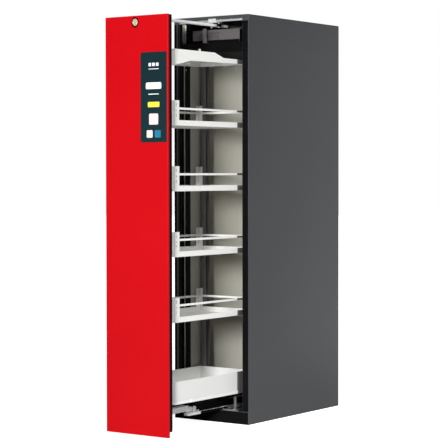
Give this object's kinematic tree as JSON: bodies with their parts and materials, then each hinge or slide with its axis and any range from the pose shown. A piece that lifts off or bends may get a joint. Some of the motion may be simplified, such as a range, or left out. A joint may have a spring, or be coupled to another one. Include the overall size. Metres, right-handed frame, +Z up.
{
  "type": "hazardous materials cabinet",
  "caption": "Tall narrow fire-rated cabinet whose full-height door carries a pull-out frame with trays and a sump, on floor slides.",
  "frame": {"origin": "centre of the body's footprint, on the floor", "axes": "+Z up, -Y out of the front, the way the pull-out opens, +X to the right seen from the front"},
  "size_m": [0.442, 1.4108, 1.978],
  "materials": {
    "body_paint": "anthracite powder coat, fine texture, satin",
    "board_facing": "light grey melamine facing on fire-resistant board, matt",
    "floor_board": "dark coated fire-resistant board",
    "seal": "black seal, matt",
    "door_paint": "signal red powder coat, satin",
    "door_core": "black edge facing, satin",
    "tray_paint": "off-white powder coat, satin",
    "zinc": "bright zinc-plated sheet",
    "cover_paint": "grey-brown powder coat, satin",
    "label": "dark blue-green film, semi-gloss",
    "brass": "nickel brass, polished",
    "nylon": "light nylon, matt"
  },
  "bodies": {
    "cabinet": {"side_panel_left": "body_paint", "side_panel_right": "body_paint", "exhaust_spigot": "nylon", "supply_spigot": "nylon", "top_panel": "body_paint", "back_panel": "body_paint", "base_plinth": "body_paint", "levelling_foot_1": "zinc", "levelling_foot_2": "zinc", "levelling_foot_3": "zinc", "levelling_foot_4": "zinc", "fire_board_left": "board_facing", "fire_board_right": "board_facing", "fire_board_back": "board_facing", "fire_board_floor": "floor_board", "fire_board_ceiling": "board_facing", "opening_seal": "seal", "top_strip": "zinc", "guide_bracket": "zinc", "mechanism_cover": "cover_paint", "closer_drum": "zinc", "strike_plate": "cover_paint", "floor_rail_left": "zinc", "floor_rail_right": "zinc", "sill_strip": "zinc", "guide_post": "zinc", "exhaust_duct": "board_facing"},
    "pullout": {"lock_escutcheon": "door_core", "door_skin": "door_paint", "door_core": "door_core", "door_liner": "board_facing", "door_gasket": "seal", "label_plate": "label", "top_guide_rail": "zinc", "post_front_left": "zinc", "post_rear_left": "zinc", "post_front_right": "zinc", "post_rear_right": "zinc", "top_carrier": "tray_paint", "carrier_stop": "nylon", "tray_1": "tray_paint", "guard_rail_1": "tray_paint", "tray_2": "tray_paint", "guard_rail_2": "tray_paint", "tray_3": "tray_paint", "guard_rail_3": "tray_paint", "tray_4": "tray_paint", "guard_rail_4": "tray_paint", "drawer_chassis": "tray_paint", "sump_tray": "tray_paint", "drawer_rail_left": "zinc", "drawer_rail_right": "zinc"},
    "middle_members": {"middle_rail_left": "zinc", "middle_rail_right": "zinc"},
    "lock": {"lock_plug": "brass"},
    "roller_left": {"guide_roller_left": "door_core"},
    "roller_right": {"guide_roller_right": "door_core"}
  },
  "joints": [
    {"name": "pullout_slide", "type": "slide", "parent": "cabinet", "child": "pullout", "axis": [0, -1, 0], "range_m": [-0.547, 0]},
    {"name": "middle_slide", "type": "slide", "parent": "cabinet", "child": "middle_members", "axis": [0, -1, 0], "range_m": [-0.2735, 0]},
    {"name": "lock_turn", "type": "hinge", "parent": "pullout", "child": "lock", "pos_m": [-0.005, -0.994, 1.8955], "axis": [0, 1, 0], "range_deg": [0, 90]},
    {"name": "roller_left_turn", "type": "hinge", "parent": "cabinet", "child": "roller_left", "pos_m": [-0.0113, -0.388, 1.923], "axis": [0, 0, 1], "range_deg": [-1, 3500]},
    {"name": "roller_right_turn", "type": "hinge", "parent": "cabinet", "child": "roller_right", "pos_m": [0.0313, -0.388, 1.923], "axis": [0, 0, 1], "range_deg": [-3500, 1]}
  ],
  "couplings": [
    {"joint": "middle_slide", "follows": "pullout_slide", "ratio": 0.5},
    {"joint": "roller_left_turn", "follows": "pullout_slide", "rad_per_m": -111.11},
    {"joint": "roller_right_turn", "follows": "pullout_slide", "rad_per_m": 111.11}
  ]
}
